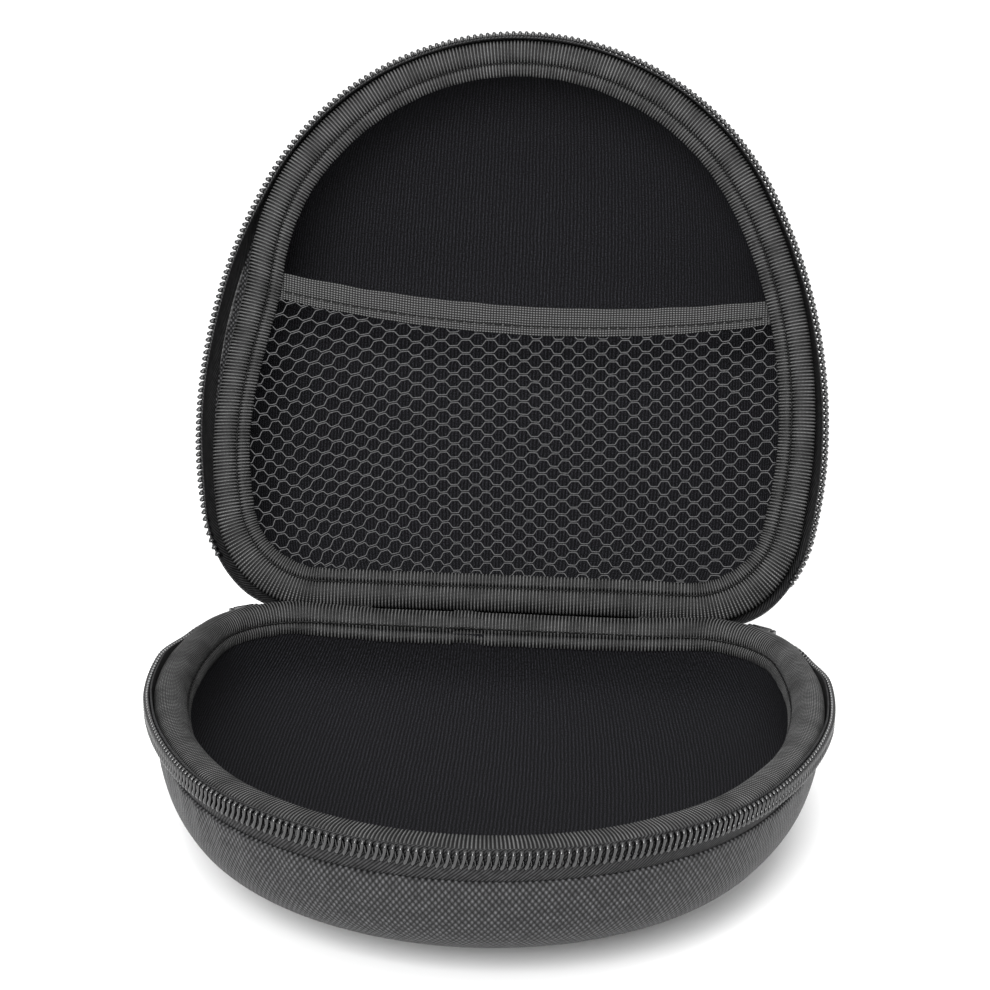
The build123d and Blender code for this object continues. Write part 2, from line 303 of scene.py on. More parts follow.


# %% [markdown]
# ## Materials
# All the fabrics are black, and what tells them apart is how their yarns catch the light.
# So each material is a dark colour plus a pattern that lifts the surface: a wave for ribs,
# two crossed waves for a weave. In the woven and knitted fabrics the same pattern also runs
# the colour from black in the grooves to grey on the crowns, which is painted shade and
# painted highlight. The patterns read the "cloth" map, in millimetres, so each pitch below
# is a size that could be measured on the real fabric.


# %% Helpers for materials
def linear(code):
    """An sRGB hex colour as linear RGBA."""
    parts = [int(code[i:i + 2], 16) / 255 for i in (1, 3, 5)]
    return [p / 12.92 if p <= 0.04045 else ((p + 0.055) / 1.055) ** 2.4 for p in parts] + [1.0]


def node(tree, kind, links=None, **settings):
    """Adds a node, sets it, and links or fills the inputs named in `links`."""
    made = tree.nodes.new(kind)
    for key, value in settings.items():
        setattr(made, key, value)
    for key, value in (links or {}).items():
        if isinstance(value, bpy.types.Node):
            value = value.outputs[0]
        if isinstance(value, bpy.types.NodeSocket):
            tree.links.new(value, made.inputs[key])
        else:
            made.inputs[key].default_value = value
    return made


def start_material(name, rough, specular=0.5, coat=0.0):
    """A material with its shader's plain numbers set; patterns are linked in later."""
    made = bpy.data.materials.new(name)
    made.use_nodes = True
    tree = made.node_tree
    shader = tree.nodes["Principled BSDF"]
    for key, value in {"Roughness": rough, "Specular IOR Level": specular,
                       "Coat Weight": coat}.items():
        shader.inputs[key].default_value = value
    return made, tree, shader


def cloth_map(tree):
    """The piece's own map of its cloth, in millimetres."""
    return node(tree, "ShaderNodeUVMap", uv_map="cloth").outputs[0]


def ribs(tree, cloth, pitch, direction, distortion=0.0):
    """Rounded ribs every `pitch` millimetres of cloth, from 0 in the groove to 1."""
    return node(tree, "ShaderNodeTexWave", {"Vector": cloth, "Scale": pi / 10 / pitch,
                "Distortion": distortion, "Detail": 1.0, "Detail Scale": 0.6},
                bands_direction=direction).outputs["Fac"]


def grain(tree, place, scale, detail, rough=0.5):
    """Soft random grain from 0 to 1, `scale` times finer than its map's unit."""
    return node(tree, "ShaderNodeTexNoise", {"Vector": place, "Scale": scale,
                                             "Detail": detail, "Roughness": rough})


def sums(tree, operation, *values):
    """One step of arithmetic on sockets and numbers."""
    return node(tree, "ShaderNodeMath", dict(enumerate(values)), operation=operation)


def coloured(tree, shader, tone, dark, light):
    """Runs the base colour from dark to light with `tone`.

    The Mix node keeps its colour inputs under repeated names, so they are found by
    identifier.
    """
    mix = node(tree, "ShaderNodeMix", data_type="RGBA")
    sockets = {s.identifier: s for s in mix.inputs}
    tone = tone.outputs[0] if isinstance(tone, bpy.types.Node) else tone
    tree.links.new(tone, sockets["Factor_Float"])
    sockets["A_Color"].default_value = linear(dark)
    sockets["B_Color"].default_value = linear(light)
    result = next(o for o in mix.outputs if o.identifier == "Result_Color")
    tree.links.new(result, shader.inputs["Base Color"])


def raised_by(tree, shader, height, lift):
    """Lets `height`, from 0 to 1, stand up to `lift` millimetres proud of the surface."""
    bump = node(tree, "ShaderNodeBump", {"Height": height, "Distance": lift * MM})
    tree.links.new(bump.outputs[0], shader.inputs["Normal"])


# %% [markdown]
# ### Ballistic weave
# The outer fabric is a heavy polyester in a basket weave. Thick flat yarns pass over and
# under each other, so its face is a grid of little pillows, every second one turned. Two
# crossed waves make the pillows, and their opposites fill the places between, so every
# second row stands half a step aside.

# %% Outer cover: basket-woven polyester
YARN_ACROSS, YARN_ALONG = 1.7, 2.3


def basket_weave():
    """Small pillows with painted shade in the gaps and a painted highlight on the crowns: the eye
    gets a grain that shows how the cloth runs.
    """
    made, tree, shader = start_material("basket_weave_polyester", 0.5, specular=0.16)
    cloth = cloth_map(tree)
    warp = ribs(tree, cloth, YARN_ACROSS, "X", 0.25)
    weft = ribs(tree, cloth, YARN_ALONG, "Y", 0.25)
    under_warp = sums(tree, "SUBTRACT", 1.0, warp)
    under_weft = sums(tree, "SUBTRACT", 1.0, weft)
    height = sums(tree, "MAXIMUM", sums(tree, "MULTIPLY", warp, weft),
                  sums(tree, "MULTIPLY", under_warp, under_weft))
    painted_pillow_light = sums(tree, "POWER", height, 1.6)
    worn = grain(tree, cloth, 0.35, 4.0)
    # The colour follows the pillows' height: painted shade in the gaps and a painted highlight on
    # the crowns, varied at random by the grain.
    coloured(tree, shader, sums(tree, "MULTIPLY", painted_pillow_light, worn), "#060606", "#626264")
    raised_by(tree, shader, height, 0.42)
    return made


# %% [markdown]
# ### Grosgrain, tape and thread
# Grosgrain binding has thick cross ribs under a fine silky warp, so it shows bright lines
# where the fold turns to the light; in the colour these are painted highlights on the rib
# crowns, with painted shade in the grooves. Zip tape is a twill, with fine slanting lines.
# The ribs of the binding are real shapes in the mesh, further down; here they get the finer
# yarns that lie across them.

# %% Binding, tape, thread
RIB_PITCH = 1.1
WARP_PITCH, TWILL_PITCH = 0.45, 0.56


def grosgrain():
    """Painted highlights on the rib crowns over painted shade in the grooves: the eye gets silk
    that turns with the fold.
    """
    made, tree, shader = start_material("polyester_grosgrain", 0.45, specular=0.14)
    cloth = cloth_map(tree)
    crowns = sums(tree, "POWER", ribs(tree, cloth, RIB_PITCH, "X", 0.15), 2.6)
    warp = ribs(tree, cloth, WARP_PITCH, "Y", 0.6)
    yarns = sums(tree, "MULTIPLY_ADD", warp, 0.7, 0.3)
    height = sums(tree, "MULTIPLY", crowns, yarns)
    worn = grain(tree, cloth, 0.12, 3.0)
    # The colour follows the ribs' height: painted highlights on the crowns and painted shade in the
    # grooves.
    coloured(tree, shader, sums(tree, "MULTIPLY", height, worn), "#010101", "#929292")
    raised_by(tree, shader, height, 0.3)
    return made


def zip_tape():
    """Fine slanting lines on near black, lighter on their ridges and darker between them as painted
    shade: the eye gets a dull ground behind the coil.
    """
    made, tree, shader = start_material("twill_zip_tape", 0.7, specular=0.12)
    cloth = cloth_map(tree)
    twill = ribs(tree, cloth, TWILL_PITCH, "DIAGONAL", 0.2)
    worn = grain(tree, cloth, 0.5, 3.0)
    # The colour follows the twill's height: painted shade between the lines, varied at random by
    # the grain.
    coloured(tree, shader, sums(tree, "MULTIPLY", twill, worn), "#050505", "#454546")
    raised_by(tree, shader, twill, 0.1)
    return made


def sewing_thread():
    """Almost black, with a faint grain of twist: the eye gets dark dashes in a groove."""
    made, tree, shader = start_material("bonded_polyester_thread", 0.5, specular=0.12)
    twist = grain(tree, node(tree, "ShaderNodeTexCoord").outputs["Object"], 2200.0, 2.0)
    coloured(tree, shader, twist, "#030303", "#161616")
    return made


# %% [markdown]
# ### Knits: lining, elastic and net
# The lining is a warp knit with fine upright ridges, which are its wales. The elastic is
# knitted in rows along its length, and the net is twisted from the same dull yarn. All
# are soft, with a little fuzz. A fine grain stands for the fuzz, and their gloss is kept
# low, since fuzz scatters the light that a smooth yarn would mirror. In the lining that
# grain also lightens the colour in small specks, as painted sheen, and the wales are
# painted lighter than the spaces between them, as painted shade.

# %% Lining, elastic, net
WALE_PITCH = 1.2
ROW_PITCH, LOOP_PITCH = 0.8, 0.9


def knit_lining():
    """Fine upright ridges, painted lighter than the spaces between them as painted shade, under
    light specks of painted sheen on the fuzz: the eye gets a deep, soft black.
    """
    made, tree, shader = start_material("ribbed_tricot_lining", 0.95, specular=0.1)
    cloth = cloth_map(tree)
    wale = ribs(tree, cloth, WALE_PITCH, "X", 1.6)
    fuzz = grain(tree, cloth, 2.2, 3.0, 0.8)
    painted_fuzz_sheen = node(tree, "ShaderNodeMapRange",
                   {"Value": fuzz, "From Min": 0.42, "From Max": 0.78})
    painted_wale_shade = sums(tree, "MULTIPLY_ADD", wale, 0.75, 0.25)
    # Painted sheen: the fuzz grain lightens the colour in specks. Painted shade: the spaces between
    # the wales are darker than the wales.
    coloured(tree, shader, sums(tree, "MULTIPLY", painted_fuzz_sheen, painted_wale_shade), "#010101", "#404046")
    raised_by(tree, shader, sums(tree, "MULTIPLY_ADD", fuzz, 1.2, wale), 0.4)
    return made


def knit_elastic():
    """Rows of small loops, with painted highlights on the loops and painted shade between them: the
    eye gets a grey ribbon that is lighter than the lining.
    """
    made, tree, shader = start_material("knitted_elastic", 0.5, specular=0.14)
    cloth = cloth_map(tree)
    row = ribs(tree, cloth, ROW_PITCH, "Y", 0.3)
    loops = sums(tree, "MULTIPLY", row, ribs(tree, cloth, LOOP_PITCH, "X", 0.6))
    # The colour follows the loops' height: painted highlights on the loops and painted shade
    # between them.
    coloured(tree, shader, loops, "#020202", "#686868")
    raised_by(tree, shader, sums(tree, "MULTIPLY_ADD", loops, 0.7, row), 0.2)
    return made


def net_yarn():
    """Twisted yarn, a little lighter in places: the eye gets thin lines on the dark."""
    made, tree, shader = start_material("polyester_net_yarn", 0.45, specular=0.25)
    fibre = grain(tree, node(tree, "ShaderNodeTexCoord").outputs["Object"], 1500.0, 2.0)
    coloured(tree, shader, fibre, "#1c1c1c", "#565657")
    return made


# %% [markdown]
# ### Nylon, foam and metal
# The coil is a thick nylon monofilament, smooth and glossy from the nozzle. The foam is
# only seen at a cut edge. Slider and pull are die-cast zinc under a thin black enamel.

# %% Coil, foam, metal
def nylon_coil():
    """Black and glossy: the eye gets one bright point on the head of each turn."""
    made, tree, shader = start_material("nylon_monofilament", 0.2, specular=0.7)
    shader.inputs["Base Color"].default_value = linear("#070708")
    return made


def eva_foam():
    """Closed cells, cut through: the eye gets a matt, faintly speckled edge."""
    made, tree, shader = start_material("moulded_eva_foam", 0.85, specular=0.3)
    place = node(tree, "ShaderNodeTexCoord").outputs["Object"]
    cells = node(tree, "ShaderNodeTexVoronoi", {"Vector": place, "Scale": 2500.0})
    coloured(tree, shader, cells.outputs["Distance"], "#0c0c0c", "#1c1c1c")
    return made


def black_enamel():
    """A clear film over black with a slight peel: the eye gets soft, hard-edged gloss."""
    made, tree, shader = start_material("black_enamelled_zinc", 0.3, coat=0.4)
    peel = grain(tree, node(tree, "ShaderNodeTexCoord").outputs["Object"], 900.0, 2.0)
    coloured(tree, shader, peel, "#0b0b0b", "#1b1b1c")
    raised_by(tree, shader, peel, 0.02)
    return made


WEAVE, GROSGRAIN, TAPE, THREAD = basket_weave(), grosgrain(), zip_tape(), sewing_thread()
LINING, ELASTIC, NET = knit_lining(), knit_elastic(), net_yarn()
NYLON, FOAM, ENAMEL = nylon_coil(), eva_foam(), black_enamel()
print("materials:", [m.name for m in (WEAVE, GROSGRAIN, TAPE, THREAD, LINING, ELASTIC, NET,
                                      NYLON, FOAM, ENAMEL)])


def dress(piece, material, body, slot, *nodes):
    """Gives a piece its material, its body and the nodes it stands for; `slot` is not used."""
    piece.data.materials.clear()
    piece.data.materials.append(material)
    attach(piece, body)
    if nodes:
        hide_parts(*nodes)
    return piece


# %% [markdown]
# ## Things that repeat
# The coil is one loop of wire made again every 2 mm, and a seam is one stitch made again
# every 3 mm. A Geometry Nodes tree places one small shape on every spot of a line and
# turns it to the line's direction, so a whole zip takes one loop and one list of spots.


# %% A tree that repeats a shape along spots
def new_tree(name, inputs):
    """An empty Geometry Nodes tree with named inputs, and its two end nodes."""
    tree = bpy.data.node_groups.new(name, "GeometryNodeTree")
    tree.interface.new_socket("Geometry", in_out="INPUT", socket_type="NodeSocketGeometry")
    for label, kind in inputs:
        tree.interface.new_socket(label, in_out="INPUT", socket_type=kind)
    tree.interface.new_socket("Geometry", in_out="OUTPUT", socket_type="NodeSocketGeometry")
    return tree, tree.nodes.new("NodeGroupInput"), tree.nodes.new("NodeGroupOutput")


def attribute(tree, name, kind="FLOAT_VECTOR"):
    """The values that each spot or point carries under a name."""
    made = node(tree, "GeometryNodeInputNamedAttribute", {"Name": name}, data_type=kind)
    return next(o for o in made.outputs if o.name == "Attribute" and o.enabled)


def repeat_tree():
    """One shape on every spot, X along "tangent" and Y towards "outward"."""
    tree, given, out = new_tree("repeat_along", [
        ("Shape", "NodeSocketObject"), ("Finish", "NodeSocketMaterial"),
        ("Smallest", "NodeSocketFloat"), ("Largest", "NodeSocketFloat"),
        ("Seed", "NodeSocketInt")])
    shape = node(tree, "GeometryNodeObjectInfo", {"Object": given.outputs["Shape"]})
    lined = node(tree, "FunctionNodeAlignRotationToVector",
                 {"Vector": attribute(tree, "tangent")}, axis="X")
    turned = node(tree, "FunctionNodeAlignRotationToVector",
                  {"Rotation": lined, "Vector": attribute(tree, "outward")},
                  axis="Y", pivot_axis="X")
    size = node(tree, "FunctionNodeRandomValue", data_type="FLOAT")
    low, high = [s for s in size.inputs if s.type == "VALUE" and s.name in ("Min", "Max")]
    tree.links.new(given.outputs["Smallest"], low)
    tree.links.new(given.outputs["Largest"], high)
    tree.links.new(given.outputs["Seed"], size.inputs["Seed"])
    number = next(o for o in size.outputs if o.type == "VALUE")
    placed = node(tree, "GeometryNodeInstanceOnPoints",
                  {"Points": given.outputs["Geometry"], "Instance": shape.outputs["Geometry"],
                   "Rotation": turned, "Scale": number})
    real = node(tree, "GeometryNodeRealizeInstances", {"Geometry": placed})
    painted = node(tree, "GeometryNodeSetMaterial",
                   {"Geometry": real, "Material": given.outputs["Finish"]})
    tree.links.new(painted.outputs[0], out.inputs["Geometry"])
    return tree


def grown(obj, tree, values):
    """Evaluates a tree on an object and keeps the result as its plain mesh."""
    modifier = obj.modifiers.new("grow", "NODES")
    modifier.node_group = tree
    names = {s.name: s.identifier for s in tree.interface.items_tree if s.in_out == "INPUT"}
    for key, value in values.items():
        modifier[names[key]] = value
    bpy.context.view_layer.update()
    ready = obj.evaluated_get(bpy.context.evaluated_depsgraph_get())
    mesh = bpy.data.meshes.new_from_object(ready)
    obj.modifiers.clear()
    obj.data = mesh
    mesh.name = obj.name
    return obj


REPEAT = repeat_tree()


def repeated(name, shape, material, spots, tangents, outwards, spread=0.0, seed=1):
    """A plain mesh with `shape` on every spot, X along the tangent and Y outwards."""
    mesh = bpy.data.meshes.new(name)
    mesh.from_pydata(np.asarray(spots).tolist(), [], [])
    for label, values in (("tangent", tangents), ("outward", outwards)):
        layer = mesh.attributes.new(label, "FLOAT_VECTOR", "POINT")
        layer.data.foreach_set("vector", np.asarray(values, np.float32).reshape(-1))
    made = grown(link(name, mesh), REPEAT, {"Shape": shape, "Finish": material,
                 "Smallest": 1 - spread, "Largest": 1 + spread, "Seed": seed})
    made.data.shade_smooth()
    print(name, len(spots), "spots,", len(made.data.polygons), "faces")
    return made


def wire(name, line, radius, sides=7, closed_ends=True):
    """A round wire along a line of (x, y, z) in mm, as a small mesh."""
    pts = [Vector(p) for p in line]
    sizes = radius if isinstance(radius, list) else [radius] * len(pts)
    verts, faces = [], []
    for i, p in enumerate(pts):
        ahead = (pts[min(i + 1, len(pts) - 1)] - pts[max(i - 1, 0)]).normalized()
        side = ahead.cross(Vector((1, 0, 0.01))).normalized()
        if i and side.dot(last) < 0:
            side.negate()
        last = side
        up = ahead.cross(side)
        for k in range(sides):
            a = tau * k / sides
            verts.append((p + (side * cos(a) + up * sin(a)) * sizes[i]) * MM)
    for i in range(len(pts) - 1):
        for k in range(sides):
            a, b = i * sides + k, i * sides + (k + 1) % sides
            faces.append((a, b, b + sides, a + sides))
    if closed_ends:
        faces.append(tuple(range(sides - 1, -1, -1)))
        faces.append(tuple(range(len(verts) - sides, len(verts))))
    mesh = bpy.data.meshes.new(name)
    mesh.from_pydata(verts, [], faces)
    mesh.uv_layers.new(name="cloth")
    work = bmesh.new()
    work.from_mesh(mesh)
    bmesh.ops.recalc_face_normals(work, faces=work.faces)
    work.to_mesh(mesh)
    work.free()
    mesh.shade_smooth()
    return bpy.data.objects.new(name, mesh)


def spots_along(rim, step, out, depth, gap=0.0, drawn=False, chain=None):
    """World spots round the rim, with tangents and outward directions."""
    marks, total = stations(0.5, gap)
    points, normals = ring(marks)
    distance = np.array([m[2] for m in marks])
    low, high = distance[0] + (step if gap else 0), (total - gap if gap else total)
    count = int((high - low) / step) if gap else round(total / step)
    wanted = low + (np.arange(count) + 0.5) * (high - low) / count
    outs = np.full(len(wanted), float(out))
    if drawn:
        outs = outs - np.array([pulled_in(s, depth) for s in wanted])
    line = [np.interp(wanted, distance, points[:, i], period=None if gap else total)
            for i in (0, 1)]
    norm = [np.interp(wanted, distance, normals[:, i], period=None if gap else total)
            for i in (0, 1)]
    norm = np.column_stack(norm)
    norm /= np.linalg.norm(norm, axis=1)[:, None]
    depths = np.full(len(wanted), float(depth))
    if chain:
        shift = np.array([chain_shift(s, chain) for s in wanted])
        outs, depths = outs + shift[:, 0], depths + shift[:, 1]
    flat = np.column_stack([np.column_stack(line) + norm * outs[:, None], depths])
    axes = np.array([rim.across, rim.front, rim.down])
    world_out = np.column_stack([norm, np.zeros(len(wanted))]) @ axes
    tangent = np.column_stack([-norm[:, 1], norm[:, 0], np.zeros(len(wanted))]) @ axes
    return rim.rows(flat), tangent, world_out


# %% [markdown]
# ## Shell walls
# Each wall is three layers pressed together hot: woven cover outside, foam in the middle
# and knit lining inside. A cover falls straight for its collar, where the zip tape is
# sewn on. Its cut edge is folded over the tape's foot, about 10 mm down, which leaves a
# small step, and from there it turns into the bowl. Pressed cloth has too much length
# round a curve, so it puckers a little below the step. Across the back, where the chain
# is not lifted, the fold sits lower.
#
# Cloth goes into the mould flat. The lining's wales therefore stay parallel all over the
# floor and spread a little on the walls, where the cloth was wider before it was pressed.
# Its map is that flat cloth. The base's cover is followed round the rim instead, so that
# its weave runs level along the front.


# %% Bowls
def bowl_rows(skin, first=16.0, count=34):
    """(out, reach, depth) down the bowl's wall, `skin` mm inside the cover's face."""
    rows = []
    for i in range(count + 1):
        t = pi / 2 * i / count
        depth = COLLAR_DEPTH + (SHELL_DEPTH - skin - COLLAR_DEPTH) * sin(t) ** (2 / RISE_POWER)
        reach = BOWL_REACH * (1 - cos(t) ** (2 / FLOOR_POWER)) if i < count else BOWL_REACH
        if depth > first:
            rows.append((-skin, reach, depth))
    return rows


PRESSED_WIDER = 0.009
FOLD_DEPTH, FOLD_SPREAD, FOLD_TOP = 10.0, 6.0, 7.0


def bowl(name, rim, seen, hidden, flat_cloth, drawn=False, ripple=None, step=2.0):
    """A closed skin: the seen face down to the middle of the floor and the hidden one back."""
    marks, _ = stations(step)
    distance = np.array([m[2] for m in marks] + [PERIMETER])
    floor, _ = ring(marks, -seen[-1][0], BOWL_REACH)
    floor_depth = seen[-1][2]
    middle = np.array([0.0, (floor[:, 1].min() + floor[:, 1].max()) / 2])
    side = "lid" if rim is lid_rim else "base"
    lowered = np.array([CHAIN_UP + chain_shift(s, side)[1] for s in distance[:-1]])
    rows, cloth, length, before = [], [], 0.0, None
    profile = [(o, r, d, 1.0, True) for o, r, d in seen]
    profile += [(*seen[-1], k, True) for k in (0.8, 0.55, 0.3, 0.12, 0.0)]
    profile += [(*hidden[-1], k, False) for k in (0.0, 0.3, 0.7)]
    profile += [(o, r, d, 1.0, False) for o, r, d in reversed(hidden)]
    for out, reach, depth, share, front in profile:
        points, normals = ring(marks, -min(out, 0.0) if reach else 0.0, reach)
        extra = out if not reach else max(out, 0.0)
        move = np.full(len(marks), float(extra))
        down = np.full(len(marks), float(depth))
        if ripple and share == 1.0:
            move = move + np.array([ripple(s, depth) for s in distance[:-1]])
            if front and depth > FOLD_TOP:
                down += max(0.0, 1 - abs(depth - FOLD_DEPTH) / FOLD_SPREAD) * lowered
        if drawn:
            move = move - np.array([pulled_in(s, depth) for s in distance[:-1]])
        points = middle + (points + normals * move[:, None] - middle) * share
        rows.append(rim.rows(np.column_stack([points, down])))
        here = Vector((out, reach, depth))
        if front and before is not None and share == 1.0:
            length += (here - before).length
        before = here
        if share < 1.0 or not flat_cloth and not front:
            cloth.append(np.vstack([points, points[:1]]))
        elif flat_cloth:
            wider = 1 + PRESSED_WIDER * (floor_depth - depth)
            planar = (points - middle) * wider + middle
            cloth.append(np.vstack([planar, planar[:1]]))
        else:
            cloth.append(np.column_stack([distance, np.full(len(distance), length)]))
    cloth.append(cloth[0])
    return skin(name, rows, np.array(cloth))


def puckers(strength):
    """Soft upright folds just under the collar, stronger to the left of the nose."""
    def ripple(s, depth):
        if depth < 10.1:
            return 0.0
        fade = exp(-((depth - 12.8) / 5.0) ** 2)
        more = 1.0 + 1.4 * exp(-((s - 0.56 * PERIMETER) / 40.0) ** 2)
        wave = noise.noise(Vector((s / 5.5, depth / 26.0, strength)))
        return strength * fade * more * wave
    return ripple


COVER_TOP = [(0.0, 0.0, 4.6), (0.0, 0.0, 7.6), (0.7, 0.0, 9.0), (1.5, 0.0, 9.7),
             (2.45, 0.0, 9.65), (2.85, 0.0, 9.82), (3.08, 0.0, 10.2), (3.15, 0.0, 10.9),
             (3.1, 0.0, 11.8), (3.0, 0.0, 12.8), (2.85, 0.0, 14.2), (2.65, 0.0, 16.0)]
BULGE_DEPTH = [16.0, 18.0, 20.5, 23.5, 27.0, 31.0, 35.0]
BULGE_OUT = [2.65, 2.25, 1.75, 1.2, 0.65, 0.2, 0.0]


def cover_rows():
    """The cover's seen face, from its top edge over the fold and down into the bowl."""
    rows = list(COVER_TOP)
    for _, reach, depth in bowl_rows(0.0, 16.4, 48):
        rows.append((float(np.interp(depth, BULGE_DEPTH, BULGE_OUT)), reach, depth))
    return rows


inner_cover = [(-0.9, 0.0, 4.6), (-0.9, 0.0, 15.9)] + bowl_rows(0.9, 16.2)
LINING_TOPS = {
    "lid": [(-8.4, 0.0, 3.0), (-8.8, 0.0, 4.0), (-8.7, 0.0, 5.6), (-8.2, 0.0, 8.0),
            (-7.5, 0.0, 10.5), (-6.8, 0.0, 13.0), (-6.1, 0.0, 15.6)],
    "base": [(-5.75, 0.0, 7.2), (-5.95, 0.0, 8.4), (-6.0, 0.0, 9.6), (-5.95, 0.0, 11.0),
             (-5.85, 0.0, 12.4), (-5.75, 0.0, 14.0), (-5.65, 0.0, 15.6)]}

for side, rim in RIMS.items():
    drawn = side == "lid"
    cover = bowl(f"{side}_woven_cover", rim, cover_rows(), inner_cover, drawn, drawn,
                 puckers(0.42), 1.6)
    dress(cover, WEAVE, side, "woven_cover", f"{side}_outer_cover")
    top = LINING_TOPS[side]
    lining_face = top + bowl_rows(WALL, 17.0)
    lining_back = [(o + 0.6, 0.0, d) for o, _, d in top] + bowl_rows(WALL - 0.6, 17.0)
    foam_face = [(-1.1, 0.0, 4.0), (-0.95, 0.0, 4.8), (-0.95, 0.0, 15.9)] + bowl_rows(0.95, 16.3)
    foam_back = ([(-3.4, 0.0, 4.2)] + [(o + 0.7, 0.0, d) for o, _, d in top[3:]]
                 + bowl_rows(WALL - 0.7, 17.0))
    foam = bowl(f"{side}_foam_shell", rim, foam_face, foam_back, True, drawn, None, 4.0)
    dress(foam, FOAM, side, "foam", f"{side}_foam_core")
    knit = bowl(f"{side}_knit_lining", rim, lining_face, lining_back, True, drawn, None, 2.0)
    dress(knit, LINING, side, "knit_lining", f"{side}_lining")
    print(side, "walls:", [len(o.data.polygons) for o in (cover, foam, knit)])

# %% [markdown]
# ## Edge binding
# A strip of grosgrain is folded over the wall's raw edge and sewn through once. It stands
# proud as a soft roll outside the seam, which nearly touches the zip tape. Inside the seam
# it is a flange with a turned hem: the lid's lies flat, and the base's turns down the
# wall. Its ribs run across the strip, so round the corners they fan out and the hem
# puckers. The ribs are waves in the mesh, made by a small tree that lifts every point
# along its normal by a wave of its place along the strip. On the base the strip's ends
# meet at the back, and one laps a little over the other.

# %% Ribbed strips
WHOLE_PITCH = PERIMETER / round(PERIMETER / RIB_PITCH)
RIB_HEIGHT, RIB_STEP = 0.11, 0.275


def rib_tree():
    """Lifts every point along its normal by a wave of its "along" value."""
    tree, given, out = new_tree("ribs_across", [("Pitch", "NodeSocketFloat"),
                                                ("Height", "NodeSocketFloat")])
    turns = node(tree, "ShaderNodeMath", {0: attribute(tree, "along", "FLOAT"),
                 1: given.outputs["Pitch"]}, operation="DIVIDE")
    angle = node(tree, "ShaderNodeMath", {0: turns, 1: tau}, operation="MULTIPLY")
    wave = node(tree, "ShaderNodeMath", {0: angle}, operation="COSINE")
    lift = node(tree, "ShaderNodeMath", {0: wave, 1: given.outputs["Height"]},
                operation="MULTIPLY")
    flip = node(tree, "ShaderNodeMath", {0: lift, 1: -1.0}, operation="MULTIPLY")
    offset = node(tree, "ShaderNodeVectorMath", {0: node(tree, "GeometryNodeInputNormal"),
                  "Scale": flip}, operation="SCALE")
    moved = node(tree, "GeometryNodeSetPosition", {"Geometry": given.outputs["Geometry"],
                                                   "Offset": offset})
    tree.links.new(moved.outputs[0], out.inputs["Geometry"])
    return tree


RIBS = rib_tree()


def ribbed(obj, pitch, height):
    """Raises ribs across a strip, from the distance along it that its cloth map holds."""
    mesh = obj.data
    layer = mesh.uv_layers["cloth"]
    uv = np.zeros(len(layer.data) * 2, np.float32)
    layer.data.foreach_get("uv", uv)
    corner = np.zeros(len(mesh.loops), np.int32)
    mesh.loops.foreach_get("vertex_index", corner)
    along = np.zeros(len(mesh.vertices), np.float32)
    along[corner] = uv[0::2]
    mesh.attributes.new("along", "FLOAT", "POINT").data.foreach_set("value", along)
    grown(obj, RIBS, {"Pitch": pitch, "Height": height * MM})
    obj.data.shade_smooth()
    return obj


ROLL = [(1.6, 6.2), (2.3, 4.7), (2.4, 3.0), (1.9, 1.5), (0.6, 0.6), (-1.2, 0.25)]
FLAT = [(-3.0, 0.35), (-4.2, 0.8), (-4.85, 1.55), (-5.2, 1.95), (-5.6, 1.6), (-6.3, 1.2),
        (-7.6, 1.4), (-8.8, 2.0), (-9.35, 2.8), (-9.1, 3.4), (-8.5, 3.3), (-7.6, 2.5),
        (-6.2, 2.3), (-5.2, 2.75), (-4.5, 2.4), (-3.2, 1.7)]
TURNED = [(-3.1, 0.6), (-4.4, 1.5), (-5.3, 2.8), (-5.8, 4.1), (-5.75, 5.0), (-5.6, 5.5),
          (-6.0, 5.9), (-6.45, 6.5), (-6.8, 7.6), (-6.7, 8.7), (-6.3, 8.9), (-6.0, 7.8),
          (-5.2, 6.2), (-4.8, 5.0), (-4.2, 3.4), (-2.6, 2.0)]
UNDER = [(-1.2, 1.6), (0.0, 2.2), (0.5, 3.4), (0.4, 6.0), (0.75, 6.35)]
SEEN_POINTS = 34
GROOVE = {"base": (-5.72, 5.35), "lid": (-5.2, 1.85)}
SAG, SAG_END, SAG_FADE = 1.6, 68.0, 30.0
NOSE_START, NOSE_FADE, NOSE_IN, NOSE_RISE = 190.0, 60.0, 1.5, 0.9
JOIN_AT, JOIN_HALF, JOIN_RISE, JOIN_OUT = PERIMETER - 10.0, 5.0, 0.45, 0.5


def strip_section(flange):
    """A closed section, smooth where it is seen and coarser where it is hidden."""
    line = smooth_line(ROLL + flange + UNDER, 2, closed=True)
    return [tuple(p) for p in line[:SEEN_POINTS] + line[SEEN_POINTS::2]]


SECTIONS = {"base": strip_section(TURNED), "lid": strip_section(FLAT)}


def rising(value, start, width):
    """0 up to `start`, then evenly to 1 over `width`."""
    return min(1.0, max(0.0, (value - start) / width))


